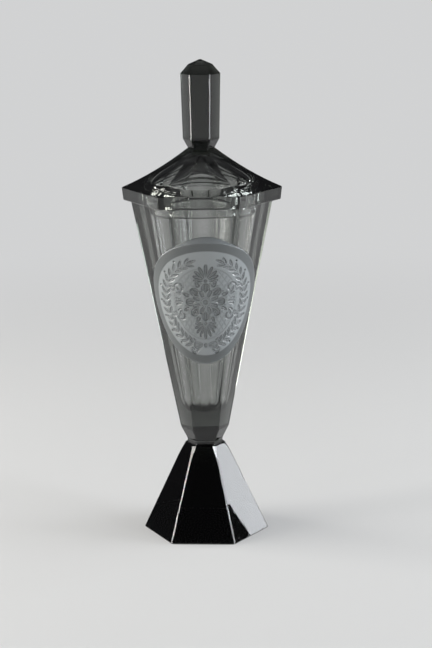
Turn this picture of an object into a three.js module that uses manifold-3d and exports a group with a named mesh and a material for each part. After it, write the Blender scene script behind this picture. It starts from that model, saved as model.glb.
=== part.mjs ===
// A six-sided covered vase of smoke-grey crystal: foot, neck, tapering bowl with a raised
// oval medallion, and a lid with a locating ring and a prism finial.
// Millimetres, +Z up, origin at the middle of the foot's underside, medallion towards -Y.
import * as THREE from 'three';
import { mergeVertices } from 'three/addons/utils/BufferGeometryUtils.js';
import Module from 'manifold-3d';

const wasm = await Module();
wasm.setup();

// Radii of six-sided forms run from the axis to a corner.

// Foot
const footHeight = 61.2;
const footRadius = 43;
const footTopRadius = 14.4;
const footTurn = -6;
const footCornerFlat = 1.5;
const footEdgeFlat = 0.9;

// Neck, the short post between foot and bowl
const neckHeight = 3.4;
const neckRadius = 12.4;
const neckCornerFlat = 0.8;

// Bowl
const bowlHeight = 162.6;
const bowlMouthRadius = 47.2;
const bowlBaseRadius = 16.6;
const bowlBaseChamfer = 8.1;
const bowlCornerFlat = 1.6;
const mouthEdgeFlat = 0.6;
const mouthWall = 4.2;
const cavityDepth = 143;
const cavityFloorRadius = 12;
const cavityFloorRound = 10;

// Medallion, an oval of the round blank left standing where the flat sides are cut away
const medallionHeight = 84;
const medallionSpread = 130;
const medallionBelowMouth = 63;
const medallionStand = 0.8;
const medallionBevel = 0.45;

// Lid
const lidTurn = -5;
const seatGap = 0.3;
const rimOverhang = 5.1;
const rimFlare = 0.9;
const rimHeight = 8.7;
const rimEdgeFlat = 0.5;
const roofHeight = 25.6;
const roofSag = 1.8;
const roofWall = 12;
const roofCornerFlat = 0.7;
const ringFit = 0.7;
const ringWall = 3.2;
const ringDepth = 7;
const ringEdgeFlat = 0.6;

// Finial
const finialPrismHeight = 42.5;
const finialRadius = 13.4;
const finialNarrowing = 1.1;
const finialFootRadius = 8.9;
const finialFootChamfer = 6.2;
const finialShoulderHeight = 6;
const finialCrownRadius = 8.2;
const finialCrownHeight = 3.5;
const finialLedge = 0.4;
const finialCornerFlat = 0.9;

// Shared by several pieces
const fusedGap = 0.3;
const overcut = 1;
const roundSteps = 96;
const curveSteps = 8;
const weldDistance = 1e-5;

const sides = 6;
const cosHalfSide = Math.cos(Math.PI / sides);
const neckZ = footHeight;
const bowlZ = neckZ + neckHeight;
const bowlShoulderZ = bowlZ + bowlBaseChamfer;
const mouthZ = bowlZ + bowlHeight;
const seatZ = mouthZ + seatGap;
const bowlTaper = (bowlMouthRadius - bowlBaseRadius) / (mouthZ - bowlShoulderZ);
const cavityMouthRadius = bowlMouthRadius * cosHalfSide - mouthWall;
const cavityTaper = (cavityMouthRadius - cavityFloorRadius) / (cavityDepth - cavityFloorRound);
const ringOuterRadius = cavityMouthRadius - ringDepth * cavityTaper - ringFit;
const hollowRadius = ringOuterRadius - ringWall;
const rimRadius = bowlMouthRadius + rimOverhang;
const rimTopRadius = rimRadius + rimFlare;
const roofFootRadius = rimTopRadius - rimEdgeFlat;
const roofTopRadius = finialFootRadius + finialLedge;
const lidHeight = rimHeight + roofHeight;

const glassFinishes = {
  clear: { color: 0x9aa09b, roughness: 0.04 },
  dark: { color: 0x3a3f3c, roughness: 0.04 },
  frosted: { color: 0xc9d0d2, roughness: 0.55 },
};

function makeGlass({ color, roughness }) {
  return new THREE.MeshStandardMaterial({ color, roughness, metalness: 0 });
}

// Profiles are lists of [radius, height], from the axis round the outline and back to the axis.
function turnProfile(profile, steps, startAngle = 0) {
  const points = profile.map(([radius, height]) => new THREE.Vector2(radius, height));
  const geometry = new THREE.LatheGeometry(points, steps, startAngle);
  geometry.rotateX(Math.PI / 2);
  return geometry;
}

function toSolid(geometry) {
  const bare = geometry.clone();
  bare.deleteAttribute('normal');
  bare.deleteAttribute('uv');
  const merged = mergeVertices(bare, weldDistance);
  return new wasm.Manifold(new wasm.Mesh({
    numProp: 3,
    vertProperties: new Float32Array(merged.attributes.position.array),
    triVerts: new Uint32Array(merged.index.array),
  }));
}

function toGeometry(solid) {
  const mesh = solid.getMesh();
  const geometry = new THREE.BufferGeometry();
  geometry.setAttribute('position', new THREE.BufferAttribute(mesh.vertProperties, 3));
  geometry.setIndex(new THREE.BufferAttribute(mesh.triVerts, 1));
  return geometry;
}

function roundSolid(profile) {
  return toSolid(turnProfile(profile, roundSteps));
}

// A six-sided solid with one side towards -Y.
function sharpSixSidedSolid(profile) {
  return toSolid(turnProfile(profile, sides, Math.PI / sides));
}

// The same with its corners ground to narrow flats, by a second six-sided solid turned half
// a side further.
function sixSidedSolid(profile, cornerFlat) {
  const flatDepth = (cornerFlat / 2) * Math.tan(Math.PI / sides);
  const cutter = profile.map(([radius, height]) => [
    Math.max(0, radius - flatDepth) / cosHalfSide,
    height,
  ]);
  return sharpSixSidedSolid(profile).intersect(toSolid(turnProfile(cutter, sides)));
}

function bowlRadiusAt(height) {
  return bowlMouthRadius - (mouthZ - height) * bowlTaper;
}

function makeFoot() {
  const footTaper = (footRadius - footTopRadius) / footHeight;
  return sixSidedSolid([
    [0, 0],
    [footRadius - footEdgeFlat - footEdgeFlat * footTaper, 0],
    [footRadius - footEdgeFlat * footTaper, footEdgeFlat],
    [footTopRadius, footHeight],
    [0, footHeight],
  ], footCornerFlat);
}

function makeNeck() {
  return sixSidedSolid([
    [0, 0],
    [neckRadius, 0],
    [neckRadius, neckHeight],
    [0, neckHeight],
  ], neckCornerFlat);
}

// The bowl's hollow is round: a rounded floor under a straight taper.
function makeCavity() {
  const floorZ = mouthZ - cavityDepth;
  const profile = [[0, floorZ]];
  for (let step = 1; step <= curveSteps; step++) {
    const angle = (step / curveSteps) * (Math.PI / 2);
    profile.push([
      cavityFloorRadius * Math.sin(angle),
      floorZ + cavityFloorRound * (1 - Math.cos(angle)),
    ]);
  }
  profile.push([cavityMouthRadius + cavityTaper * overcut, mouthZ + overcut]);
  profile.push([0, mouthZ + overcut]);
  return roundSolid(profile);
}

function makeBowl() {
  const body = sixSidedSolid([
    [0, bowlZ],
    [neckRadius, bowlZ],
    [bowlBaseRadius, bowlShoulderZ],
    [bowlRadiusAt(mouthZ - mouthEdgeFlat), mouthZ - mouthEdgeFlat],
    [bowlMouthRadius - mouthEdgeFlat, mouthZ],
    [0, mouthZ],
  ], bowlCornerFlat);
  return body.subtract(makeCavity());
}

// An oval plug bent round the axis, reaching in and out from the bowl's corner radius and
// wider at its root than at its face.
function makeOvalPlug() {
  const reach = bowlMouthRadius / 4;
  const centreZ = mouthZ - medallionBelowMouth;
  const geometry = new THREE.CylinderGeometry(1, 1, 2, roundSteps, 1);
  const position = geometry.attributes.position;
  for (let index = 0; index < position.count; index++) {
    const outward = position.getY(index) * reach;
    const growth = -outward * medallionBevel;
    const halfHeight = medallionHeight / 2 + growth;
    const height = centreZ + position.getX(index) * halfHeight;
    const radius = bowlRadiusAt(height);
    const halfSpread = THREE.MathUtils.degToRad(medallionSpread / 2) + growth / radius;
    const angle = position.getZ(index) * halfSpread;
    position.setXYZ(
      index,
      (radius + outward) * Math.sin(angle),
      -(radius + outward) * Math.cos(angle),
      height,
    );
  }
  return toSolid(geometry);
}

function makeMedallion() {
  const lowZ = bowlShoulderZ;
  const blank = roundSolid([
    [0, lowZ],
    [bowlRadiusAt(lowZ) + medallionStand, lowZ],
    [bowlMouthRadius + medallionStand, mouthZ],
    [0, mouthZ],
  ]);
  const core = sharpSixSidedSolid([
    [0, lowZ - overcut],
    [bowlRadiusAt(lowZ - overcut) + fusedGap / cosHalfSide, lowZ - overcut],
    [bowlRadiusAt(mouthZ + overcut) + fusedGap / cosHalfSide, mouthZ + overcut],
    [0, mouthZ + overcut],
  ]);
  return makeOvalPlug().intersect(blank).subtract(core);
}

// The roof sags a little between finial and rim: roofSag is the depth of the curve's middle.
function roofPoint(share) {
  const radius = roofTopRadius + (roofFootRadius - roofTopRadius) * share;
  const height = lidHeight - roofHeight * share - 4 * roofSag * share * (1 - share);
  return [radius, height];
}

function makeCover() {
  const profile = [
    [0, 0],
    [rimRadius - rimEdgeFlat, 0],
    [rimRadius, rimEdgeFlat],
    [rimTopRadius, rimHeight - rimEdgeFlat],
  ];
  for (let step = curveSteps; step >= 0; step--) {
    profile.push(roofPoint(step / curveSteps));
  }
  profile.push([0, lidHeight]);
  return sixSidedSolid(profile, roofCornerFlat).subtract(makeHollow());
}

// The hollow under the roof is round: a short bore in line with the ring, then a vault that
// follows the middles of the roof's sides one wall below them.
function makeHollow() {
  const profile = [[0, -overcut], [hollowRadius, -overcut]];
  const roofSpan = roofFootRadius - roofTopRadius;
  const vaultShare = (hollowRadius / cosHalfSide - roofTopRadius) / roofSpan;
  for (let step = curveSteps; step >= 0; step--) {
    const [roofRadius, roofZ] = roofPoint((vaultShare * step) / curveSteps);
    profile.push([roofRadius * cosHalfSide, roofZ - roofWall]);
  }
  profile.push([0, lidHeight - roofWall]);
  return roundSolid(profile);
}

function makeRing() {
  return roundSolid([
    [hollowRadius, 0],
    [hollowRadius, ringEdgeFlat - ringDepth],
    [hollowRadius + ringEdgeFlat, -ringDepth],
    [ringOuterRadius - ringEdgeFlat, -ringDepth],
    [ringOuterRadius, ringEdgeFlat - ringDepth],
    [ringOuterRadius, 0],
    [hollowRadius, 0],
  ]);
}

function makeFinial() {
  const prismBottom = finialFootChamfer;
  const prismTop = prismBottom + finialPrismHeight;
  const crownZ = prismTop + finialShoulderHeight;
  return sixSidedSolid([
    [0, 0],
    [finialFootRadius, 0],
    [finialRadius - finialNarrowing, prismBottom],
    [finialRadius, prismTop],
    [finialCrownRadius, crownZ],
    [0, crownZ + finialCrownHeight],
  ], finialCornerFlat);
}

function addPiece(group, name, solid, finish) {
  const mesh = new THREE.Mesh(toGeometry(solid), makeGlass(finish));
  mesh.name = name;
  group.add(mesh);
  return mesh;
}

const coveredVase = new THREE.Group();

const vase = new THREE.Group();
coveredVase.add(vase);
const foot = addPiece(vase, 'foot', makeFoot(), glassFinishes.dark);
foot.rotation.z = THREE.MathUtils.degToRad(footTurn);
const neck = addPiece(vase, 'neck', makeNeck(), glassFinishes.dark);
neck.position.z = neckZ;
addPiece(vase, 'bowl', makeBowl(), glassFinishes.clear);
addPiece(vase, 'medallion', makeMedallion(), glassFinishes.frosted);

const lid = new THREE.Group();
lid.position.z = seatZ;
lid.rotation.z = THREE.MathUtils.degToRad(lidTurn);
coveredVase.add(lid);
addPiece(lid, 'lid_cover', makeCover(), glassFinishes.clear);
addPiece(lid, 'lid_ring', makeRing(), glassFinishes.clear);
const finial = addPiece(lid, 'finial', makeFinial(), glassFinishes.dark);
finial.position.z = lidHeight;

export default coveredVase;
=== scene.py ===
# A six-sided covered vase of smoke-grey cut crystal on a pale studio floor.
# Metres, +Z up, the medallion faces -Y. Azimuths are in degrees from -Y towards +X.
import math

import bmesh
import bpy
import numpy as np
from mathutils import Matrix, Vector


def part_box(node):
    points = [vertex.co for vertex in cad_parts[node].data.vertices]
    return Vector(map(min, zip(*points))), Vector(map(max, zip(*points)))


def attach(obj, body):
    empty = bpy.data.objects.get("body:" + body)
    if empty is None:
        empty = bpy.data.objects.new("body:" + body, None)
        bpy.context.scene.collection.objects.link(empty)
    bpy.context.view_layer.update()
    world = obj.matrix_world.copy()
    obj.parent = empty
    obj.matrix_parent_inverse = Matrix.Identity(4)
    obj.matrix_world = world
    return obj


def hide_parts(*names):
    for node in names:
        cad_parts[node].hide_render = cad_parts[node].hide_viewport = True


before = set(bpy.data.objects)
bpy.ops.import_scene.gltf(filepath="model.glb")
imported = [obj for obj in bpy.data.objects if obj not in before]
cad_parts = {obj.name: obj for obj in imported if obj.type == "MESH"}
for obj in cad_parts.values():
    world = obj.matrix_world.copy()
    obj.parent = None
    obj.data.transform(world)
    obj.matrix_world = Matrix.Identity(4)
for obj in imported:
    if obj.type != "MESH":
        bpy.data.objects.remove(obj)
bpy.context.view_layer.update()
print("frame loaded:", ", ".join(sorted(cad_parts)))

mm = 0.001
sides = 6
sideAngle = 360 / sides
cosHalfSide = math.cos(math.radians(sideAngle / 2))
levelStep = 0.001 * mm  # CAD heights are told apart to this step
cornerStep = 0.05 * mm  # and CAD corners to this one
outerShare = 0.999  # a level's corners reach at least this share of its farthest point


# Shapes

def compass(azimuth, radius=1.0, height=0.0):
    angle = math.radians(azimuth)
    return Vector((radius * math.sin(angle), -radius * math.cos(angle), height))


# Heights and corner radii of a six-sided CAD piece, lowest first. A level has two points at each ground
# corner; a round level has more, and is passed over.
def cadLevels(node, turn):
    facing = compass(turn)
    levels = {}
    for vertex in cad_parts[node].data.vertices:
        levels.setdefault(round(vertex.co.z / levelStep), []).append(vertex.co)
    found = []
    for points in levels.values():
        reach = max(point.xy.length for point in points)
        outer = [point for point in points if point.xy.length > reach * outerShare]
        corners = {(round(point.x / cornerStep), round(point.y / cornerStep)) for point in outer}
        if 2 * sides <= len(corners) < 4 * sides:
            distance = max(point.dot(facing) for point in points)
            found.append((points[0].z, distance / cosHalfSide))
    return sorted(found)


# One six-sided ring. Each corner is ground to a flat of the given width.
def sixSidedRing(radius, height, flat, turn, sideSteps=1, flatSteps=1):
    corners = [compass(turn + sideAngle * (k + 0.5), radius, height) for k in range(sides)]
    cut = flat / math.sqrt(3)
    points = []
    for k in range(sides):
        before = (corners[k - 1] - corners[k]).normalized()
        after = (corners[(k + 1) % sides] - corners[k]).normalized()
        start = corners[k] + before * cut
        end = corners[k] + after * cut
        last = corners[(k + 1) % sides] - after * cut
        points += [start.lerp(end, i / flatSteps) for i in range(flatSteps)]
        points += [end.lerp(last, i / sideSteps) for i in range(sideSteps)]
    return points


# The rings of a six-sided piece at its levels, with the turn, corner flats and steps of its sizes.
def levelRings(levels, size):
    flat, turn = size["cornerFlat"], size["turn"]
    steps = size.get("sideSteps", 1), size.get("flatSteps", 1)
    return [sixSidedRing(radius, height, flat, turn, *steps) for height, radius in levels]


# A round ring whose points lie at the azimuths of another ring's points.
def roundRing(radius, height, like):
    points = []
    for point in like:
        reach = math.hypot(point.x, point.y)
        points.append(Vector((point.x / reach * radius, point.y / reach * radius, height)))
    return points


# Joins rings into one closed body. Its ends are flat caps, unless the last ring meets the first.
def loft(name, rings, ringsMeet=False):
    mesh = bmesh.new()
    loops = [[mesh.verts.new(point) for point in ring] for ring in rings]
    pairs = list(zip(loops, loops[1:]))
    if ringsMeet:
        pairs.append((loops[-1], loops[0]))
    for low, high in pairs:
        for i in range(len(low)):
            j = (i + 1) % len(low)
            mesh.faces.new((low[i], low[j], high[j], high[i]))
    if not ringsMeet:
        mesh.faces.new(list(reversed(loops[0])))
        mesh.faces.new(loops[-1])
    return finishMesh(name, mesh)


def finishMesh(name, mesh):
    bmesh.ops.recalc_face_normals(mesh, faces=mesh.faces)
    data = bpy.data.meshes.new(name)
    mesh.to_mesh(data)
    mesh.free()
    data.shade_smooth()
    piece = bpy.data.objects.new(name, data)
    bpy.context.scene.collection.objects.link(piece)
    return piece


# Narrow polished arrises: an edge that turns by more than the limit, in degrees, gets a small round.
def softenEdges(piece, width, limit=12):
    bevel = piece.modifiers.new("arris", "BEVEL")
    bevel.width = width
    bevel.segments = 2
    bevel.limit_method = "ANGLE"
    bevel.angle_limit = math.radians(limit)
    bevel.use_clamp_overlap = True
    bevel.harden_normals = True


def markFloat(piece, name, values):
    attribute = piece.data.attributes.new(name, "FLOAT", "POINT")
    attribute.data.foreach_set("value", np.asarray(values, np.float32))


def placePiece(piece, body, node, material):
    piece.data.materials.append(material)
    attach(piece, body)
    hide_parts(node)
    print("piece:", piece.name)


# Shader building blocks

# Adds nodes to one tree. A socket is filled by its name, or by its number where names repeat, with a plain
# value or with another node's output.
class NodeBuilder:
    def __init__(self, tree):
        self.tree = tree
        self.tree.nodes.clear()
        self.column = 0

    def add(self, kind, settings=None, **inputs):
        node = self.tree.nodes.new(kind)
        node.location = (self.column * 180, 0)
        self.column += 1
        for name, value in (settings or {}).items():
            setattr(node, name, value)
        self.fill(node, inputs)
        return node

    def fill(self, node, inputs):
        for socketName, value in inputs.items():
            socket = node.inputs[socketName]
            if isinstance(value, bpy.types.NodeSocket):
                self.tree.links.new(value, socket)
            else:
                socket.default_value = value

    def math(self, operation, *values, clamp=False):
        node = self.add("ShaderNodeMath", {"operation": operation, "use_clamp": clamp})
        self.fill(node, dict(enumerate(values)))
        return node.outputs[0]

    def remap(self, value, low, high, newLow=0.0, newHigh=1.0):
        node = self.add("ShaderNodeMapRange", {"interpolation_type": "SMOOTHSTEP"}, Value=value)
        self.fill(node, {"From Min": low, "From Max": high, "To Min": newLow, "To Max": newHigh})
        return node.outputs[0]

    def noise(self, place, scale, **inputs):
        return self.add("ShaderNodeTexNoise", Vector=place, Scale=scale, **inputs).outputs

    # What the mesh carries under this name.
    def mark(self, name):
        return self.add("ShaderNodeAttribute", {"attribute_name": name}).outputs["Fac"]

    # The Mix node has its numbers at sockets 2 and 3, and its colours at 6 and 7.
    def mixValue(self, factor, a, b):
        node = self.add("ShaderNodeMix", {"data_type": "FLOAT"})
        self.fill(node, {0: factor, 2: a, 3: b})
        return node.outputs[0]

    def mixColour(self, factor, a, b):
        node = self.add("ShaderNodeMix", {"data_type": "RGBA"})
        self.fill(node, {0: factor, 6: a, 7: b})
        return node.outputs[2]


def newMaterial(name):
    material = bpy.data.materials.new(name)
    material.use_nodes = True
    return material, NodeBuilder(material.node_tree)


def newGroup(name, inputs, output):
    tree = bpy.data.node_groups.new(name, "ShaderNodeTree")
    for socketName, value in inputs.items():
        socket = tree.interface.new_socket(socketName, in_out="INPUT", socket_type="NodeSocketFloat")
        socket.default_value = value
    tree.interface.new_socket(output, in_out="OUTPUT", socket_type="NodeSocketFloat")
    return tree


# Faint unevenness of hand-polished crystal: broad ripples, with fine streaks that run up the piece.
def makeRippleGroup():
    inputs = {"Ripple Size": 0.02, "Stretch": 4.0, "Streak Size": 0.003, "Streak Share": 0.2}
    build = NodeBuilder(newGroup("handPolishRipple", inputs, "Height"))
    given = build.add("NodeGroupInput").outputs
    place = build.add("ShaderNodeTexCoord").outputs["Object"]
    squeeze = build.add("ShaderNodeCombineXYZ", X=1.0, Y=1.0, Z=build.math("DIVIDE", 1.0, given["Stretch"]))
    squeezed = build.add("ShaderNodeVectorMath", {"operation": "MULTIPLY"})
    build.fill(squeezed, {0: place, 1: squeeze.outputs[0]})
    place = squeezed.outputs[0]
    broad = build.noise(place, build.math("DIVIDE", 1.0, given["Ripple Size"]), Detail=1.5, Roughness=0.4)
    fine = build.noise(place, build.math("DIVIDE", 1.0, given["Streak Size"]), Detail=2.0, Roughness=0.5)
    height = build.mixValue(given["Streak Share"], broad["Fac"], fine["Fac"])
    build.add("NodeGroupOutput", Height=height)
    return build.tree


# Marks that handling leaves. Scales are per metre; a mark fades in between the noise values from and to.
handling = {
    "smudge": {"scale": 32.0, "from": 0.52, "to": 0.7},
    "scratch": {"scale": 70.0, "from": 0.5, "to": 0.62, "width": 0.012, "bendScale": 18.0, "bend": 0.03},
    "contact": {"scale": 900.0, "from": 0.35, "to": 0.65, "least": 0.35},
    "roughest": 0.9,
}


# Roughness of handled glass: clean polish, faint smudges, hairline scratches and a worn contact edge.
def makeWearGroup():
    inputs = {
        "Polish": 0.01,
        "Smudge": 0.03,
        "Scratch": 0.12,
        "Scratch Size": 0.012,
        "Contact Height": 0.0,
        "Contact Spread": 0.001,
        "Contact Roughness": 0.25,
    }
    build = NodeBuilder(newGroup("handledGlass", inputs, "Roughness"))
    given = build.add("NodeGroupInput").outputs
    place = build.add("ShaderNodeTexCoord").outputs["Object"]

    marks = handling["smudge"]
    cloud = build.noise(place, marks["scale"], Detail=3.0, Roughness=0.6)["Fac"]
    smudge = build.remap(cloud, marks["from"], marks["to"])

    marks = handling["scratch"]
    bend = build.noise(place, marks["bendScale"], Detail=2.0)["Color"]
    drift = build.add("ShaderNodeVectorMath", {"operation": "MULTIPLY_ADD"})
    build.fill(drift, {0: bend, 1: [marks["bend"]] * 3, 2: place})
    cells = build.add("ShaderNodeTexVoronoi", {"feature": "DISTANCE_TO_EDGE"}, Vector=drift.outputs[0])
    build.fill(cells, {"Scale": build.math("DIVIDE", 1.0, given["Scratch Size"])})
    hairline = build.remap(cells.outputs["Distance"], 0.0, marks["width"], 1.0, 0.0)
    patchy = build.noise(place, marks["scale"], Detail=1.0)["Fac"]
    scratch = build.math("MULTIPLY", hairline, build.remap(patchy, marks["from"], marks["to"]))

    marks = handling["contact"]
    heights = build.add("ShaderNodeSeparateXYZ")
    build.fill(heights, {0: place})
    away = build.math("SUBTRACT", heights.outputs["Z"], given["Contact Height"])
    near = build.remap(build.math("ABSOLUTE", away), 0.0, given["Contact Spread"], 1.0, 0.0)
    rubbed = build.noise(place, marks["scale"], Detail=2.0, Roughness=0.7)["Fac"]
    worn = build.remap(rubbed, marks["from"], marks["to"], marks["least"])
    contact = build.math("MULTIPLY", near, worn)

    rough = build.math("MULTIPLY_ADD", smudge, given["Smudge"], given["Polish"])
    rough = build.math("MULTIPLY_ADD", scratch, given["Scratch"], rough)
    rough = build.math("MULTIPLY_ADD", contact, given["Contact Roughness"], rough)
    build.add("NodeGroupOutput", Roughness=build.math("MINIMUM", rough, handling["roughest"]))
    return build.tree


rippleGroup = makeRippleGroup()
wearGroup = makeWearGroup()
print("shader groups ready")


# Polished smoke-grey glass. Inside a hollow its ripples may be deeper.
def makeGlass(name, finish):
    material, build = newMaterial(name)
    ripple = build.add("ShaderNodeGroup", {"node_tree": rippleGroup})
    build.fill(ripple, finish["ripple"])
    wear = build.add("ShaderNodeGroup", {"node_tree": wearGroup})
    build.fill(wear, finish["wear"])
    depth = finish["rippleDepth"]
    if "hollowRipple" in finish:
        depth = build.mixValue(build.mark("hollow"), depth, finish["hollowRipple"])
    height = build.math("MULTIPLY", ripple.outputs["Height"], depth)
    bump = build.add("ShaderNodeBump", Strength=1.0, Distance=1.0, Height=height)
    rough = wear.outputs["Roughness"]
    shader = build.add("ShaderNodeBsdfPrincipled", IOR=finish["ior"], Roughness=rough)
    build.fill(shader, {"Base Color": (*finish["tint"], 1), "Transmission Weight": 1})
    build.fill(shader, {"Normal": bump.outputs[0]})
    fillWithSmoke(build, shader, finish)
    return material


# Smoke darkens the glass with its depth. Lamps reach through it, so that its shadow is as light as real
# glass throws.
def fillWithSmoke(build, shader, finish):
    path = build.add("ShaderNodeLightPath")
    clear = build.add("ShaderNodeBsdfTransparent", Color=(*finish["shadowTint"], 1))
    mix = build.add("ShaderNodeMixShader")
    build.fill(mix, {0: path.outputs["Is Shadow Ray"], 1: shader.outputs[0], 2: clear.outputs[0]})
    smoke = build.add("ShaderNodeVolumeAbsorption", Color=(*finish["smoke"], 1), Density=finish["density"])
    build.add("ShaderNodeOutputMaterial", Surface=mix.outputs[0], Volume=smoke.outputs[0])


smokeColour = (0.55, 0.562, 0.548)
shadowTint = (0.97, 0.975, 0.97)

darkCrystal = {
    "tint": (1.0, 1.0, 1.0),
    "ior": 1.53,
    "smoke": smokeColour,
    "density": 400.0,
    "shadowTint": shadowTint,
    "rippleDepth": 0.012 * mm,
    "ripple": {"Ripple Size": 9 * mm, "Stretch": 3.0, "Streak Size": 1.6 * mm, "Streak Share": 0.06},
    "wear": {
        "Polish": 0.008,
        "Smudge": 0.02,
        "Scratch": 0.1,
        "Scratch Size": 14 * mm,
        "Contact Height": 0.0,
        "Contact Spread": 1.6 * mm,
        "Contact Roughness": 0.3,
    },
}

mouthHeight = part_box("bowl")[1].z
bowlCrystal = {
    **darkCrystal,
    "density": 225.0,
    "rippleDepth": 0.014 * mm,
    "hollowRipple": 0.12 * mm,
    "ripple": {"Ripple Size": 10 * mm, "Stretch": 7.0, "Streak Size": 2.2 * mm, "Streak Share": 0.16},
    "wear": {
        **darkCrystal["wear"],
        "Contact Height": mouthHeight,
        "Contact Spread": 0.5 * mm,
        "Contact Roughness": 0.08,
    },
}
coverCrystal = {
    **bowlCrystal,
    "density": 145.0,
    "hollowRipple": 0.03 * mm,
    "wear": {**bowlCrystal["wear"], "Contact Height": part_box("lid_cover")[0].z},
}
ringCrystal = {
    **darkCrystal,
    "density": 155.0,
    "wear": {**bowlCrystal["wear"], "Contact Height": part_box("lid_ring")[0].z},
}

darkGlass = makeGlass("darkSmokeCrystal", darkCrystal)
bowlGlass = makeGlass("bowlSmokeCrystal", bowlCrystal)
coverGlass = makeGlass("coverSmokeCrystal", coverCrystal)
ringGlass = makeGlass("ringSmokeCrystal", ringCrystal)

# Ground and engraved crystal: a fine even grain where the mesh is marked matte, polish elsewhere. Its base
# colour carries painted shade, darker where the mesh is marked for it.
frostedCrystal = {
    "tint": (0.31, 0.331, 0.34),
    "ior": 1.53,
    "smoke": smokeColour,
    "density": 200.0,
    "shadowTint": (0.92, 0.925, 0.925),
    # dark colour of the painted shade in the engraving's cuts and on their slopes; the wall and the border
    # band are painted towards it too
    "paintedShade": (0.05, 0.055, 0.055),
    "clearness": 0.34,
    "groundRoughness": 0.36,
    "smoothest": 0.85,  # of the ground roughness, where the waves are low
    "grainSize": 0.35 * mm,
    "grainDepth": 0.012 * mm,
    "waveSize": 4 * mm,
    "waveDepth": 0.03 * mm,
    "waveFrom": 0.3,
    "waveTo": 0.7,
    "polish": 0.01,
}


def makeFrosted(name, finish):
    material, build = newMaterial(name)
    place = build.add("ShaderNodeTexCoord").outputs["Object"]
    matte = build.mark("matte")
    grain = build.noise(place, 1 / finish["grainSize"], Detail=3.0, Roughness=0.7)["Fac"]
    wave = build.noise(place, 1 / finish["waveSize"], Detail=2.0, Roughness=0.5)["Fac"]
    fine = build.math("MULTIPLY", build.math("MULTIPLY", grain, finish["grainDepth"]), matte)
    broad = build.math("MULTIPLY", build.math("MULTIPLY", wave, finish["waveDepth"]), build.mark("field"))
    bump = build.add("ShaderNodeBump", Strength=1.0, Distance=1.0, Height=build.math("ADD", fine, broad))
    ground = finish["groundRoughness"]
    uneven = build.remap(wave, finish["waveFrom"], finish["waveTo"], ground * finish["smoothest"], ground)
    rough = build.math("MULTIPLY_ADD", matte, uneven, finish["polish"])
    # painted shade: the base colour darkens as far as the mesh's shade mark says
    colour = build.mixColour(build.mark("paintedShade"), (*finish["tint"], 1), (*finish["paintedShade"], 1))
    shader = build.add("ShaderNodeBsdfPrincipled", IOR=finish["ior"], Roughness=rough)
    build.fill(shader, {"Base Color": colour, "Transmission Weight": finish["clearness"]})
    build.fill(shader, {"Normal": bump.outputs[0]})
    fillWithSmoke(build, shader, finish)
    return material


frostedGlass = makeFrosted("frostedCrystal", frostedCrystal)
print("glass ready")


# Foot

footSizes = {
    "turn": -6,
    "cornerFlat": 1.1 * mm,  # width of the ground corners
    "dropFlat": 3.6 * mm,  # their widest place, a drop-shaped cut under the neck
    "dropLength": 9 * mm,
    "dropSwell": 1.6,  # how late the drop widens
    "arris": 0.18 * mm,
}


def makeFoot():
    size = footSizes
    levels = cadLevels("foot", size["turn"])
    _, (edgeZ, edgeRadius), (topZ, topRadius) = levels
    rings = levelRings(levels[:2], size)
    dropSteps = 14
    for i in range(dropSteps + 1):
        share = i / dropSteps
        height = topZ - size["dropLength"] * (1 - share)
        radius = topRadius + (edgeRadius - topRadius) * (topZ - height) / (topZ - edgeZ)
        flat = size["cornerFlat"] + (size["dropFlat"] - size["cornerFlat"]) * share ** size["dropSwell"]
        rings.append(sixSidedRing(radius, height, flat, size["turn"]))
    return loft("foot_block", rings)


foot = makeFoot()
softenEdges(foot, footSizes["arris"])
placePiece(foot, "vase", "foot", darkGlass)


# Neck

neckSizes = {
    "turn": 0,
    "cornerFlat": 0.9 * mm,
    "waist": 0.35 * mm,  # how far the post is drawn in between foot and bowl
    "arris": 0.1 * mm,
}


def makeNeck():
    (lowZ, radius), (highZ, _) = cadLevels("neck", neckSizes["turn"])
    rings = []
    steps = 8
    for i in range(steps + 1):
        share = i / steps
        drawn = neckSizes["waist"] * math.sin(math.pi * share)
        height = lowZ + (highZ - lowZ) * share
        rings.append(sixSidedRing(radius - drawn, height, neckSizes["cornerFlat"], neckSizes["turn"]))
    return loft("neck_post", rings)


neck = makeNeck()
softenEdges(neck, neckSizes["arris"])
placePiece(neck, "vase", "neck", darkGlass)


# Bowl

bowlSizes = {
    "turn": 0,
    "cornerFlat": 1.3 * mm,
    "cavityDepth": 143 * mm,
    "cavityMouthRadius": 36.68 * mm,
    "cavityFloorRadius": 12 * mm,
    "cavityFloorRound": 10 * mm,
    "arris": 0.22 * mm,
    "sideSteps": 30,
    "flatSteps": 2,
}


def makeBowl():
    size = bowlSizes
    levels = cadLevels("bowl", size["turn"])
    outside = levelRings(levels, size)
    mouthZ = levels[-1][0]
    floorZ = mouthZ - size["cavityDepth"]
    like = outside[-1]
    inside = [roundRing(size["cavityMouthRadius"], mouthZ, like)]
    roundSteps = 24
    for i in range(roundSteps):
        angle = math.pi / 2 * (1 - i / roundSteps)
        radius = size["cavityFloorRadius"] * math.sin(angle)
        height = floorZ + size["cavityFloorRound"] * (1 - math.cos(angle))
        inside.append(roundRing(radius, height, like))
    piece = loft("bowl_body", outside + inside)
    markFloat(piece, "hollow", np.repeat([0] * len(outside) + [1] * len(inside), len(like)))
    return piece


bowl = makeBowl()
softenEdges(bowl, bowlSizes["arris"])
placePiece(bowl, "vase", "bowl", bowlGlass)


# Medallion

medallionSizes = {
    "height": 84 * mm,
    "spread": 130,  # degrees round the bowl
    "belowMouth": 63 * mm,
    "stand": 0.8 * mm,  # how far the face stands out from the bowl's corners
    "wallSlope": 0.45,
    "rimRound": 0.4 * mm,
    "backGap": 0.12 * mm,
    "backCells": 130,
}

petalShape = {"fullest": 0.66, "point": 0.45, "rib": 0.2}

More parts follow.
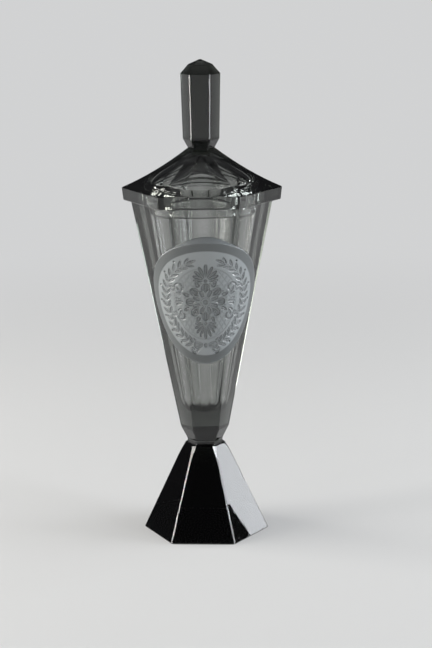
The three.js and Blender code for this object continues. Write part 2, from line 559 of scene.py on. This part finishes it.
# Lengths of the engraving are in millimetres, as at the oval's middle height, and angles in degrees.
engraving = {
    "border": 5.2,
    "borderSoft": 0.35,
    "borderStep": 0.12,
    "cutMatte": 0.3,
    "thinnest": 0.35,  # glass left behind the deepest cut
    "uncutLine": 0.55,  # width of the line left round each stroke
    "deepest": 0.95,
    "steepest": 0.9,
    # How dark the engraving is painted: painted shade in deep cuts and on steep slopes. The wall and the
    # border band are painted darker too.
    "cutShade": 0.5,
    "slopeShade": 0.85,
    "wallShade": 0.25,
    "borderShade": 0.75,
    "line": {"width": 0.9, "depth": 0.35},
    "trellis": {"across": 21, "up": 25, "pitch": 3.1, "lean": 56, "width": 0.8, "depth": 0.2, "fade": 0.94},
    "wreath": {
        "across": 27.4,
        "up": 30.2,
        "stemFrom": -86,
        "stemSweep": 152,
        "leaves": 17,
        "leavesFrom": -79,
        "leavesSweep": 143,
        "lean": 36,
        "shrink": 0.28,
        "leaf": {"length": 8.2, "width": 2.9, "depth": 0.7, "veins": 4},
        "berryOut": 4.9,
        "berryRadius": 1.0,
        "berryDepth": 0.6,
        "tipAt": 66,
        "tipLean": 62,
        "tip": {"length": 6.5, "width": 2.6, "depth": 0.7, "veins": 4},
    },
    "ribbon": {
        "place": (0, -30.4),
        "tailFrom": 0.8,
        "tail": 9.5,
        "tailDrop": 3.6,
        "tailWave": 1.5,
        "tailStroke": {"width": 1.92, "depth": 0.6, "ridge": 0.6},
        "loop": 8.5,
        "loopRise": 1.2,
        "loopWave": 2.3,
        "loopStroke": {"width": 1.728, "depth": 0.6, "swell": 0.3, "ridge": 0.6},
        "knotRise": 0.9,
        "knot": {"radius": 1.9, "depth": 0.6},
    },
    "scroll": {
        "across": 16.4,
        "middle": 1.2,
        "up": 9.6,
        "radius": 4.6,
        "shrink": 0.76,
        "start": 100,
        "sweep": 400,
        "stroke": {"width": 1.25, "depth": 0.6, "swell": 0.35, "ridge": 0.6},
        "eye": {"radius": 1.1, "depth": 0.6},
        "leaves": ((0.02, 62, 6.8), (0.14, 34, 6.0), (0.26, 8, 5.4)),  # place along it, lean and length
        "leaf": {"width": 2.2, "depth": 0.65, "veins": 3},
        "fanAcross": 14.6,
        "fanLeans": (-24, 24, 0),
        "fanLeaf": {"length": 6.6, "width": 2.4, "depth": 0.65},
    },
    "palmette": {
        "places": ((16.2, 90), (-13.8, -90)),  # height and heading
        "size": 11.5,
        "leans": (88, -88, 66, -66, 44, -44, 22, -22, 0),
        "shorten": 0.004,
        "slender": 0.21,
        "leaf": {"depth": 0.8, "fullest": 0.68, "point": 0.6, "rib": 0.7},
        "bead": {"radius": 1.5, "depth": 0.6},
    },
    "rosette": {
        "centre": (0, 1.2),
        "petals": 8,
        "sepals": {"start": 8.0, "length": 8.6, "width": 3.6, "depth": 0.8, "veins": 4},
        "darts": {"start": 8.4, "length": 6.2, "width": 1.7, "depth": 0.5},
        "outerPetals": {"start": 3.6, "length": 9.4, "width": 7.4, "depth": 0.95, "flutes": 5, **petalShape},
        "innerPetals": {"start": 2.4, "length": 6.4, "width": 4.0, "depth": 0.75, "flutes": 3, **petalShape},
        "beadsOut": 3.1,
        "beads": {"radius": 0.62, "depth": 0.45},
        "middle": {"radius": 2.0, "depth": 0.7},
    },
}

# How leaves and strokes are scooped out, as shares of their width and depth.
scoops = {
    "rib": 0.22,
    "root": 0.22,
    "veinSlant": 0.9,
    "veinDepth": 0.3,
    "fluteDepth": 0.45,
    "ridge": 0.25,
}


def smoothStep(value, low, high):
    share = np.clip((value - low) / (high - low), 0, 1)
    return share * share * (3 - 2 * share)


# A drawing cut into the glass. Every stroke lies over the earlier ones, with a thin uncut line round it.
class Intaglio:
    def __init__(self, x, y):
        self.x = x
        self.y = y
        self.depth = np.zeros_like(x)

    def lay(self, edge, depth):
        self.depth = np.maximum(self.depth * smoothStep(edge, 0.0, engraving["uncutLine"]), depth)

    def local(self, base, angle):
        dx = self.x - base[0]
        dy = self.y - base[1]
        turn = math.radians(angle)
        return dx * math.cos(turn) + dy * math.sin(turn), dy * math.cos(turn) - dx * math.sin(turn)

    # A leaf or petal: two scoops with a rib between them. fullest is where it is widest, from 0 to 1.
    def leaf(self, base, angle, length, width, depth, fullest=0.45, point=0.85, rib=0.8, veins=0, flutes=0):
        along, across = self.local(base, angle)
        share = np.clip(along / length, 0, 1)
        outline = np.sin(math.pi * share ** (math.log(0.5) / math.log(fullest))) ** point * width / 2
        beyond = np.maximum(np.maximum(-along, along - length), 0)
        edge = np.maximum(np.abs(across) - outline, beyond)
        side = np.clip(np.abs(across) / np.maximum(outline, 0.01), 0, 1)
        scoop = (1 - side ** 2) * (1 - rib * np.exp(-((side / scoops["rib"]) ** 2)))
        if veins:
            slant = share * veins - side * scoops["veinSlant"]
            scoop = scoop * (1 - scoops["veinDepth"] * (0.5 + 0.5 * np.cos(2 * math.pi * slant)))
        if flutes:
            scoop = scoop * (1 - scoops["fluteDepth"] * (0.5 + 0.5 * np.cos(math.pi * flutes * side)))
        scoop = scoop * smoothStep(outline, 0.0, width * scoops["root"])
        self.lay(edge, np.where(edge > 0, 0, depth * scoop))

    def bead(self, centre, radius, depth):
        distance = np.hypot(self.x - centre[0], self.y - centre[1])
        self.lay(distance - radius, depth * np.clip(1 - (distance / radius) ** 2, 0, 1))

    # A stroke along a list of points. Its width may swell in the middle.
    def stroke(self, points, width, depth, swell=0.0, ridge=0.0):
        nearest = np.full_like(self.x, np.inf)
        reach = np.zeros_like(self.x)
        for i, point in enumerate(points):
            distance = np.hypot(self.x - point[0], self.y - point[1])
            half = width / 2 * (1 + swell * math.sin(math.pi * i / (len(points) - 1)))
            closer = distance / half < nearest
            nearest = np.where(closer, distance / half, nearest)
            reach = np.where(closer, distance - half, reach)
        scoop = np.clip(1 - nearest ** 2, 0, 1) * (1 - ridge * np.exp(-((nearest / scoops["ridge"]) ** 2)))
        self.lay(reach, depth * scoop)


def ovalPoint(across, up, angle):
    return across * math.cos(math.radians(angle)), up * math.sin(math.radians(angle))


# Crossing lines inside an oval line, cut shallow behind the ornament.
def cutTrellis(cut, trellis):
    inside = np.hypot(cut.x / trellis["across"], cut.y / trellis["up"])
    fade = smoothStep(inside, 1.0, trellis["fade"])
    for lean in (-trellis["lean"], trellis["lean"]):
        _, across = cut.local((0, 0), lean)
        away = np.abs(np.mod(across + trellis["pitch"] / 2, trellis["pitch"]) - trellis["pitch"] / 2)
        groove = np.clip(1 - (away / (trellis["width"] / 2)) ** 2, 0, 1)
        cut.depth = np.maximum(cut.depth, trellis["depth"] * groove * fade)
    steps = 120
    rim = [ovalPoint(trellis["across"], trellis["up"], 360 * i / steps) for i in range(steps + 1)]
    cut.stroke(rim, **engraving["line"])


# Two stems with pairs of leaves that grow smaller as they climb, and a berry at every other pair.
def cutWreath(cut, wreath):
    across, up = wreath["across"], wreath["up"]
    leaf = wreath["leaf"]
    stemSteps = 79
    for side in (-1, 1):
        stem = []
        for i in range(stemSteps + 1):
            x, y = ovalPoint(across, up, wreath["stemFrom"] + wreath["stemSweep"] * i / stemSteps)
            stem.append((side * x, y))
        cut.stroke(stem, **engraving["line"])
        for i in range(wreath["leaves"]):
            share = i / (wreath["leaves"] - 1)
            angle = wreath["leavesFrom"] + wreath["leavesSweep"] * share
            x, y = ovalPoint(across, up, angle)
            ahead = ovalPoint(across, up, angle + 1)
            heading = math.degrees(math.atan2(ahead[1] - y, ahead[0] - x))
            size = 1 - wreath["shrink"] * share
            shape = {**leaf, "length": leaf["length"] * size, "width": leaf["width"] * size}
            for lean in (-wreath["lean"], wreath["lean"]):
                direction = heading + lean
                if side < 0:
                    direction = 180 - direction
                cut.leaf((side * x, y), direction, **shape)
            if i % 2:
                outward = math.atan2(y, x)
                berryX = x + wreath["berryOut"] * math.cos(outward)
                berryY = y + wreath["berryOut"] * math.sin(outward)
                cut.bead((side * berryX, berryY), wreath["berryRadius"] * size, wreath["berryDepth"])
        x, y = ovalPoint(across, up, wreath["tipAt"])
        cut.leaf((side * x, y), 90 + side * wreath["tipLean"], **wreath["tip"])


# Rings of leaves and petals round a bead, the outer ones cut first.
def cutRosette(cut, rosette):
    cx, cy = rosette["centre"]
    petals = rosette["petals"]
    step = 360 / petals

    def ring(count, offset, start, **shape):
        for i in range(count):
            angle = offset + 360 * i / count
            base = (cx + start * math.cos(math.radians(angle)), cy + start * math.sin(math.radians(angle)))
            cut.leaf(base, angle, **shape)

    ring(petals, 90 + step / 2, **rosette["sepals"])
    ring(petals * 2, 90 + step / 4, **rosette["darts"])
    ring(petals, 90, **rosette["outerPetals"])
    ring(petals, 90 + step / 2, **rosette["innerPetals"])
    for i in range(petals * 2):
        angle = math.radians(step * i / 2)
        place = (cx + rosette["beadsOut"] * math.cos(angle), cy + rosette["beadsOut"] * math.sin(angle))
        cut.bead(place, **rosette["beads"])
    cut.bead((cx, cy), **rosette["middle"])


# A fan of leaves above the rosette and one below it. The leaves that lean over most are the shortest.
def cutPalmettes(cut, palmette):
    size = palmette["size"]
    for up, heading in palmette["places"]:
        for lean in palmette["leans"]:
            length = size * (1 - palmette["shorten"] * abs(lean))
            cut.leaf((0, up), heading + lean, length, size * palmette["slender"], **palmette["leaf"])
        cut.bead((0, up), **palmette["bead"])


def spiral(scroll, turn, side):
    up = scroll["middle"] + turn * scroll["up"]
    steps = 43
    points = []
    for i in range(steps + 1):
        share = i / steps
        reach = scroll["radius"] * (1 - scroll["shrink"] * share)
        angle = math.radians(turn * (scroll["sweep"] * share - scroll["start"]))
        points.append((side * (scroll["across"] + reach * math.cos(angle)), up + reach * math.sin(angle)))
    return points


# Two facing volutes on each side of the rosette, with leaves that spring from them.
def cutScrolls(cut, scroll):
    for side in (-1, 1):
        for turn in (-1, 1):
            points = spiral(scroll, turn, side)
            cut.stroke(points, **scroll["stroke"])
            cut.bead(points[-1], **scroll["eye"])
            for place, lean, length in scroll["leaves"]:
                base = points[int(place * len(points))]
                cut.leaf(base, 90 - side * (90 - turn * lean), length, **scroll["leaf"])
        base = (side * scroll["fanAcross"], scroll["middle"])
        for lean in scroll["fanLeans"]:
            cut.leaf(base, 90 - side * 90 + lean, **scroll["fanLeaf"])


# A bow under the wreath: two wavy tails, two loops and a knot.
def cutRibbon(cut, ribbon):
    px, py = ribbon["place"]
    tailSteps = 29
    loopSteps = 39
    for side in (-1, 1):
        tail = []
        for i in range(tailSteps + 1):
            share = i / tailSteps
            wave = ribbon["tailWave"] * math.sin(2 * math.pi * share)
            x = px + side * (ribbon["tailFrom"] + ribbon["tail"] * share)
            tail.append((x, py - ribbon["tailDrop"] * share + wave))
        cut.stroke(tail, **ribbon["tailStroke"])
        loop = []
        for i in range(loopSteps + 1):
            angle = 2 * math.pi * i / loopSteps
            x = px + side * ribbon["loop"] * math.sin(angle / 2)
            wave = ribbon["loopWave"] * math.sin(angle) * math.sin(angle / 2)
            loop.append((x, py + ribbon["loopRise"] + wave))
        cut.stroke(loop, **ribbon["loopStroke"])
    cut.bead((px, py + ribbon["knotRise"]), **ribbon["knot"])


def cutMedallion(x, y):
    cut = Intaglio(x, y)
    cutTrellis(cut, engraving["trellis"])
    cutWreath(cut, engraving["wreath"])
    cutRibbon(cut, engraving["ribbon"])
    cutScrolls(cut, engraving["scroll"])
    cutPalmettes(cut, engraving["palmette"])
    cutRosette(cut, engraving["rosette"])
    return cut.depth


# Maps a square grid onto the unit disc, with the grid's border on the circle.
def discGrid(cells):
    line = np.linspace(-1, 1, cells + 1)
    across, up = np.meshgrid(line, line)
    return across * np.sqrt(1 - up ** 2 / 2), up * np.sqrt(1 - across ** 2 / 2)


def gridBorder(cells):
    low = [(0, i) for i in range(cells)]
    right = [(i, cells) for i in range(cells)]
    high = [(cells, cells - i) for i in range(cells)]
    left = [(cells - i, 0) for i in range(cells)]
    return low + right + high + left


# The medallion's oval, wrapped round the bowl. Azimuths are in radians here.
class Oval:
    def __init__(self):
        size = medallionSizes
        levels = cadLevels("bowl", bowlSizes["turn"])
        (self.lowZ, self.lowRadius), (self.highZ, self.highRadius) = levels[1:3]
        self.middle = mouthHeight - size["belowMouth"]
        self.halfHeight = size["height"] / 2
        self.halfSpread = math.radians(size["spread"] / 2)
        self.edgeGrowth = -size["stand"] * size["wallSlope"]

    # The bowl's corner radius on its straight taper.
    def cornerRadius(self, height):
        share = (height - self.lowZ) / (self.highZ - self.lowZ)
        return self.lowRadius + (self.highRadius - self.lowRadius) * share

    # Distance from the axis to the bowl's cut sides.
    def sideRadius(self, azimuth, height):
        corner = self.cornerRadius(height)
        half = math.radians(sideAngle / 2)
        toSide = np.mod(azimuth + half, 2 * half) - half
        toCorner = np.mod(azimuth, 2 * half) - half
        flatDepth = bowlSizes["cornerFlat"] / 2 * math.tan(half)
        return np.minimum(corner * cosHalfSide / np.cos(toSide), (corner - flatDepth) / np.cos(toCorner))

    # A place in the unit disc, stretched by growth, as azimuth and height.
    def place(self, u, v, growth):
        height = self.middle + v * (self.halfHeight + growth)
        return u * (self.halfSpread + growth / self.cornerRadius(height)), height

    def points(self, azimuth, height, radius):
        return np.stack((radius * np.sin(azimuth), -radius * np.cos(azimuth), height), axis=-1)

    # The wall widens as it goes down to the sides; three steps settle where it meets them.
    def rootGrowth(self, u, v):
        leastReach = 1e-9
        reach = np.maximum(np.hypot(u, v), leastReach)
        u, v = u / reach, v / reach
        growth = np.zeros_like(u)
        for _ in range(3):
            azimuth, height = self.place(u, v, growth)
            stand = self.sideRadius(azimuth, height) - self.cornerRadius(height)
            growth = -stand * medallionSizes["wallSlope"]
        return growth


# The engraved face and its marks: how matte a point is; how dark it is painted, with painted shade in the
# deep cuts and on steep slopes and a darker border band; and field, 1 inside the border.
def engraveFace(oval, cells):
    size = medallionSizes
    u, v = discGrid(cells)
    azimuth, height = oval.place(u, v, oval.edgeGrowth - size["rimRound"])
    middleWidth = oval.halfSpread * oval.cornerRadius(oval.middle) / mm
    middleHeight = oval.halfHeight / mm
    x, y = u * middleWidth, v * middleHeight
    depth = cutMedallion(x, y)
    padded = np.pad(depth, 1, mode="edge")
    around = padded[:-2, 1:-1] + padded[2:, 1:-1] + padded[1:-1, :-2] + padded[1:-1, 2:]
    softened = around / 8 + depth / 2
    inFromEdge = (1 - np.hypot(u, v)) * (middleWidth + middleHeight) / 2
    soft = engraving["borderSoft"]
    field = smoothStep(inFromEdge, engraving["border"] - soft, engraving["border"] + soft)
    deep = np.clip(softened / engraving["deepest"], 0, 1) * field

    leastStep = 0.05  # keeps the crowded cells at the grid's corners from looking steep
    slopeX = np.gradient(softened, axis=1) / np.maximum(np.gradient(x, axis=1), leastStep)
    slopeY = np.gradient(softened, axis=0) / np.maximum(np.gradient(y, axis=0), leastStep)
    steep = np.clip(np.hypot(slopeX, slopeY) / engraving["steepest"], 0, 1)
    # painted shade: darker on steep slopes and in deep cuts, where shade falls in the grooves
    paintedShade = engraving["slopeShade"] * steep + engraving["cutShade"] * deep
    marks = {
        "matte": 1 - (1 - engraving["cutMatte"]) * deep,
        "field": field,
        "paintedShade": paintedShade + engraving["borderShade"] * (1 - field),
    }

    surface = oval.cornerRadius(height) + size["stand"]
    solid = surface - oval.sideRadius(azimuth, height) - size["backGap"]
    sunk = (softened + engraving["borderStep"]) * field * mm
    sunk = np.minimum(sunk, solid - engraving["thinnest"] * mm)
    return oval.points(azimuth, height, surface - sunk), marks


# Rings of the wall: round the rim, then straight down to just short of the back.
def wallRings(oval, u, v):
    size = medallionSizes
    rim = size["rimRound"]
    wallLength = math.hypot(1, size["wallSlope"])
    root = oval.rootGrowth(u, v)
    azimuth, height = oval.place(u, v, root)
    rootOutward = oval.sideRadius(azimuth, height) + size["backGap"] - oval.cornerRadius(height)
    ways = []
    roundSteps = 4
    for i in range(1, roundSteps + 1):
        share = i / roundSteps
        down = share ** 2 * rim / wallLength
        outward = size["stand"] - down
        growth = oval.edgeGrowth - (1 - share) ** 2 * rim + down * size["wallSlope"]
        ways.append((growth, outward))
    wallSteps = 6
    for i in range(1, wallSteps):
        share = i / wallSteps
        ways.append((growth + (root - growth) * share, outward + (rootOutward - outward) * share))
    rings = []
    for growth, outward in ways:
        azimuth, height = oval.place(u, v, growth)
        rings.append(oval.points(azimuth, height, oval.cornerRadius(height) + outward))
    return rings


def addGrid(mesh, points, flipped=False):
    verts = [[mesh.verts.new(point) for point in row] for row in points]
    for low, high in zip(verts, verts[1:]):
        for a, b, c, d in zip(low, low[1:], high[1:], high):
            mesh.faces.new((a, d, c, b) if flipped else (a, b, c, d))
    return verts


# One closed body. The wall's last ring has two points for each one on the back's edge.
def joinMedallion(face, wall, back):
    mesh = bmesh.new()
    faceVerts = addGrid(mesh, face)
    backVerts = addGrid(mesh, back, flipped=True)
    loops = [[faceVerts[i][j] for i, j in gridBorder(len(face) - 1)]]
    loops += [[mesh.verts.new(point) for point in ring] for ring in wall]
    for outer, inner in zip(loops, loops[1:]):
        for i in range(len(outer)):
            j = (i + 1) % len(outer)
            mesh.faces.new((outer[i], inner[i], inner[j], outer[j]))
    last = loops[-1]
    backLoop = [backVerts[i][j] for i, j in gridBorder(len(back) - 1)]
    for i, corner in enumerate(backLoop):
        following = backLoop[(i + 1) % len(backLoop)]
        here, between, there = last[2 * i], last[2 * i + 1], last[(2 * i + 2) % len(last)]
        mesh.faces.new((here, corner, between))
        mesh.faces.new((between, corner, following))
        mesh.faces.new((between, following, there))
    return finishMesh("medallion_oval", mesh)


def makeMedallion():
    oval = Oval()
    backCells = medallionSizes["backCells"]
    faceCells = 2 * backCells
    face, marks = engraveFace(oval, faceCells)
    border = gridBorder(faceCells)
    u, v = (np.array([grid[place] for place in border]) for grid in discGrid(faceCells))
    wall = wallRings(oval, u, v)
    u, v = discGrid(backCells)
    azimuth, height = oval.place(u, v, oval.rootGrowth(u, v))
    back = oval.points(azimuth, height, oval.sideRadius(azimuth, height) + medallionSizes["backGap"])
    piece = joinMedallion(face, wall, back)
    total = len(piece.data.vertices)
    for name, values in marks.items():
        spread = np.zeros(total)
        spread[: values.size] = values.ravel()
        # the wall is painted evenly darker, on the same mark as the engraving's painted shade
        if name == "paintedShade":
            spread[total - len(wall) * len(border) :] = engraving["wallShade"]
        markFloat(piece, name, spread)
    return piece


medallion = makeMedallion()
placePiece(medallion, "vase", "medallion", frostedGlass)


# Lid cover

coverSizes = {
    "turn": -5,
    "cornerFlat": 0.8 * mm,
    "boreRadius": 31.48 * mm,
    "boreHeight": 7 * mm,
    "roofWall": 8 * mm,
    "hollowRound": 0.77,  # 1 would be a plain cone, 0.5 a dome
    "hollowTip": 0.05 * mm,
    "arris": 0.2 * mm,
    "sideSteps": 30,
    "flatSteps": 2,
}


def makeCover():
    size = coverSizes
    levels = cadLevels("lid_cover", size["turn"])
    outside = levelRings(levels, size)
    like = outside[0]
    lowZ = levels[0][0]
    top = levels[-1][0] - size["roofWall"]
    bore = lowZ + size["boreHeight"]
    inside = []
    hollowSteps = 48
    for i in range(hollowSteps):
        share = math.sin(math.pi / 2 * i / hollowSteps)
        height = bore + (top - bore) * (1 - share) ** size["hollowRound"]
        inside.append(roundRing(max(size["boreRadius"] * share, size["hollowTip"]), height, like))
    inside.append(roundRing(size["boreRadius"], lowZ, like))
    piece = loft("lid_cover_body", inside + outside)
    markFloat(piece, "hollow", np.repeat([1] * len(inside) + [0] * len(outside), len(like)))
    return piece


cover = makeCover()
softenEdges(cover, coverSizes["arris"])
placePiece(cover, "lid", "lid_cover", coverGlass)


# Locating ring

ringSizes = {
    "outerRadius": 34.68 * mm,
    "wall": 3.2 * mm,
    "edgeRound": 0.8 * mm,
    "arris": 0.15 * mm,
    "arrisLimit": 40,  # degrees, so that only the two upper edges get one
    "steps": 192,
}


def makeRing():
    lowCorner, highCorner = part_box("lid_ring")
    outer = ringSizes["outerRadius"]
    inner = outer - ringSizes["wall"]
    edge = ringSizes["edgeRound"]
    roundSteps = 5
    profile = [(inner, highCorner.z)]
    for centre, sign in ((inner + edge, -1), (outer - edge, 1)):
        for i in range(roundSteps + 1):
            turn = math.pi / 2 * (i / roundSteps if sign < 0 else 1 - i / roundSteps)
            across = math.cos(turn) * edge * sign
            profile.append((centre + across, lowCorner.z + edge - math.sin(turn) * edge))
    profile.append((outer, highCorner.z))
    like = [compass(360 * i / ringSizes["steps"]) for i in range(ringSizes["steps"])]
    rings = [roundRing(radius, height, like) for radius, height in profile]
    return loft("lid_ring_flange", rings, ringsMeet=True)


ring = makeRing()
softenEdges(ring, ringSizes["arris"], ringSizes["arrisLimit"])
placePiece(ring, "lid", "lid_ring", ringGlass)


# Finial

finialSizes = {
    "turn": -5,
    "cornerFlat": 0.95 * mm,
    "arris": 0.16 * mm,
    "tipRadius": 0.8 * mm,
    "tipFlat": 0.4 * mm,
}


def makeFinial():
    size = finialSizes
    levels = cadLevels("finial", size["turn"])
    rings = levelRings(levels, size)
    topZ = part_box("finial")[1].z
    lastZ, lastRadius = levels[-1]
    tipZ = topZ - (topZ - lastZ) * size["tipRadius"] / lastRadius
    rings.append(sixSidedRing(size["tipRadius"], tipZ, size["tipFlat"], size["turn"]))
    return loft("finial_prism", rings)


finial = makeFinial()
softenEdges(finial, finialSizes["arris"])
placePiece(finial, "lid", "finial", darkGlass)


# Stage, lamps and camera

stage = {
    "paleFloor": (0.70, 0.70, 0.69),
    "floorRadius": 12.0,
    "floorRoughness": 0.7,
    "floorShine": 0.2,
    "floorGap": 0.05 * mm,
    "fadeFrom": 0.3,
    "fadeTo": 1.1,
    "nearGlow": 0.4,  # how much of the floor's paleness near the vase doesn't depend on the lamps
    "paleSky": (0.64, 0.645, 0.65),
    "darkSky": (0.045, 0.045, 0.048),
    "skyFrom": -0.02,
    "skyTo": 0.04,
    "topSky": (0.2, 0.2, 0.205),
    "topFrom": 0.6,
    "topTo": 0.95,
}


def makeFloor():
    mesh = bmesh.new()
    bmesh.ops.create_circle(mesh, cap_ends=True, segments=128, radius=stage["floorRadius"])
    floor = finishMesh("studioFloor", mesh)
    floor.location.z = -stage["floorGap"]
    material, build = newMaterial("paleFloor")
    lit = build.add("ShaderNodeBsdfPrincipled", Roughness=stage["floorRoughness"])
    build.fill(lit, {"Base Color": (*stage["paleFloor"], 1), "Specular IOR Level": stage["floorShine"]})
    far = build.add("ShaderNodeEmission", Strength=1.0, Color=(*stage["paleSky"], 1))
    reach = build.add("ShaderNodeVectorMath", {"operation": "LENGTH"})
    build.fill(reach, {0: build.add("ShaderNodeNewGeometry").outputs["Position"]})
    fade = build.remap(reach.outputs["Value"], stage["fadeFrom"], stage["fadeTo"], stage["nearGlow"])
    path = build.add("ShaderNodeLightPath").outputs
    seen = build.math("ADD", path["Is Camera Ray"], path["Is Glossy Ray"])
    seen = build.math("ADD", seen, path["Is Transmission Ray"], clamp=True)
    mix = build.add("ShaderNodeMixShader")
    build.fill(mix, {0: build.math("MULTIPLY", fade, seen), 1: lit.outputs[0], 2: far.outputs[0]})
    build.add("ShaderNodeOutputMaterial", Surface=mix.outputs[0])
    floor.data.materials.append(material)


# Pale below the horizon and dark above it, with some light overhead.
def makeWorld():
    world = bpy.data.worlds.new("studio")
    bpy.context.scene.world = world
    world.use_nodes = True
    build = NodeBuilder(world.node_tree)
    parts = build.add("ShaderNodeSeparateXYZ")
    build.fill(parts, {0: build.add("ShaderNodeTexCoord").outputs["Generated"]})
    up = parts.outputs["Z"]
    dark = build.remap(up, stage["skyFrom"], stage["skyTo"])
    sky = build.mixColour(dark, (*stage["paleSky"], 1), (*stage["darkSky"], 1))
    overhead = build.remap(up, stage["topFrom"], stage["topTo"])
    sky = build.mixColour(overhead, sky, (*stage["topSky"], 1))
    background = build.add("ShaderNodeBackground", Strength=1.0, Color=sky)
    build.add("ShaderNodeOutputWorld", Surface=background.outputs[0])


# Lamps on both sides, placed for what the glass mirrors. Distances, widths and the heights low and high are
# in metres. glow is how bright a lamp's face is; white paper in full light is 1.
coolWhite = (0.93, 0.96, 1.0)
warmWhite = (1.0, 0.98, 0.94)
rightLamps = {
    "Softbox": {"azimuth": 85.5, "distance": 1.5, "width": 1.004, "low": 0.21, "high": 0.8, "glow": 11.0},
    "Strip": {"azimuth": 59, "distance": 1.6, "width": 0.14, "low": 0.02, "high": 0.6, "glow": 20.0},
    "Tube": {"azimuth": 76, "distance": 1.45, "width": 0.035, "low": 0.2, "high": 0.7, "glow": 60.0},
    "EndTube": {"azimuth": 98, "distance": 1.45, "width": 0.03, "low": 0.22, "high": 0.6, "glow": 40.0},
    "EndPanel": {"azimuth": 108.5, "distance": 1.5, "width": 0.1, "low": 0.13, "high": 0.8, "glow": 8.0},
    "LineStrip": {"azimuth": 52.4, "distance": 1.48, "width": 0.05, "low": 0.0, "high": 0.2, "glow": 8.0},
    "HighStrip": {"azimuth": 53.8, "distance": 1.48, "width": 0.2, "low": 0.66, "high": 1.25, "glow": 8.0},
    "BackStrip": {"azimuth": 123.5, "distance": 1.5, "width": 0.18, "low": 0.22, "high": 0.42, "glow": 40.0},
    "Panel": {"azimuth": 56.5, "distance": 1.6, "width": 0.22, "low": 1.08, "high": 1.42, "glow": 14.0},
}
leftLamps = {
    "Softbox": {"azimuth": -98, "distance": 1.5, "width": 1.09, "low": 0.21, "high": 0.8, "glow": 11.0},
    "Strip": {"azimuth": -72, "distance": 1.45, "width": 0.3, "low": 0.0, "high": 1.3, "glow": 12.0},
    "Tube": {"azimuth": -48, "distance": 1.6, "width": 0.05, "low": 0.1, "high": 0.6, "glow": 50.0},
    "BackStrip": {"azimuth": -116, "distance": 1.48, "width": 0.2, "low": 0.21, "high": 0.6, "glow": 27.0},
    "EndTube": {"azimuth": -98, "distance": 1.45, "width": 0.03, "low": 0.22, "high": 0.6, "glow": 40.0},
}


def makeLamp(name, lamp, tint):
    light = bpy.data.lights.new(name, "AREA")
    light.shape = "RECTANGLE"
    light.size = lamp["width"]
    light.size_y = lamp["high"] - lamp["low"]
    light.energy = lamp["glow"] * math.pi * light.size * light.size_y
    light.color = tint
    holder = bpy.data.objects.new(name, light)
    holder.location = compass(lamp["azimuth"], lamp["distance"], (lamp["low"] + lamp["high"]) / 2)
    holder.rotation_euler = (-compass(lamp["azimuth"])).to_track_quat("-Z", "Y").to_euler()
    holder.visible_camera = False
    bpy.context.scene.collection.objects.link(holder)


# The camera stands where the photograph's did, found from the object's own corners.
cameraPlace = {
    "longSide": 36.0,
    "lens": 103.56,
    "distance": 1.222,
    "height": 0.413,
    "pitch": 12.46,
    "roll": -0.69,
    "yaw": 0.39,
    "turn": -2.4,
}


def makeCamera():
    place = {key: math.radians(cameraPlace[key]) for key in ("pitch", "roll", "yaw", "turn")}
    data = bpy.data.cameras.new("studioCamera")
    data.sensor_width = cameraPlace["longSide"]
    data.lens = cameraPlace["lens"]
    camera = bpy.data.objects.new("studioCamera", data)
    bpy.context.scene.collection.objects.link(camera)
    level = math.cos(place["pitch"])
    down = math.sin(place["pitch"])
    ahead = Vector((math.sin(place["yaw"]) * level, math.cos(place["yaw"]) * level, -down))
    right = Vector((math.cos(place["yaw"]), -math.sin(place["yaw"]), 0))
    up = right.cross(ahead)
    leanRight = math.cos(place["roll"]) * right + math.sin(place["roll"]) * up
    leanUp = math.cos(place["roll"]) * up - math.sin(place["roll"]) * right
    matrix = Matrix((leanRight, leanUp, -ahead)).transposed().to_4x4()
    matrix.translation = (0, -cameraPlace["distance"], cameraPlace["height"])
    camera.matrix_world = Matrix.Rotation(place["turn"], 4, "Z") @ matrix
    bpy.context.scene.camera = camera


makeFloor()
makeWorld()
for lampName, lamp in rightLamps.items():
    makeLamp("right" + lampName, lamp, coolWhite)
for lampName, lamp in leftLamps.items():
    makeLamp("left" + lampName, lamp, warmWhite)
makeCamera()
scene = bpy.context.scene
scene.view_settings.view_transform = "Standard"
scene.cycles.max_bounces = 24
scene.cycles.transmission_bounces = 24
scene.cycles.glossy_bounces = 12
scene.cycles.transparent_max_bounces = 32
print("stage ready")
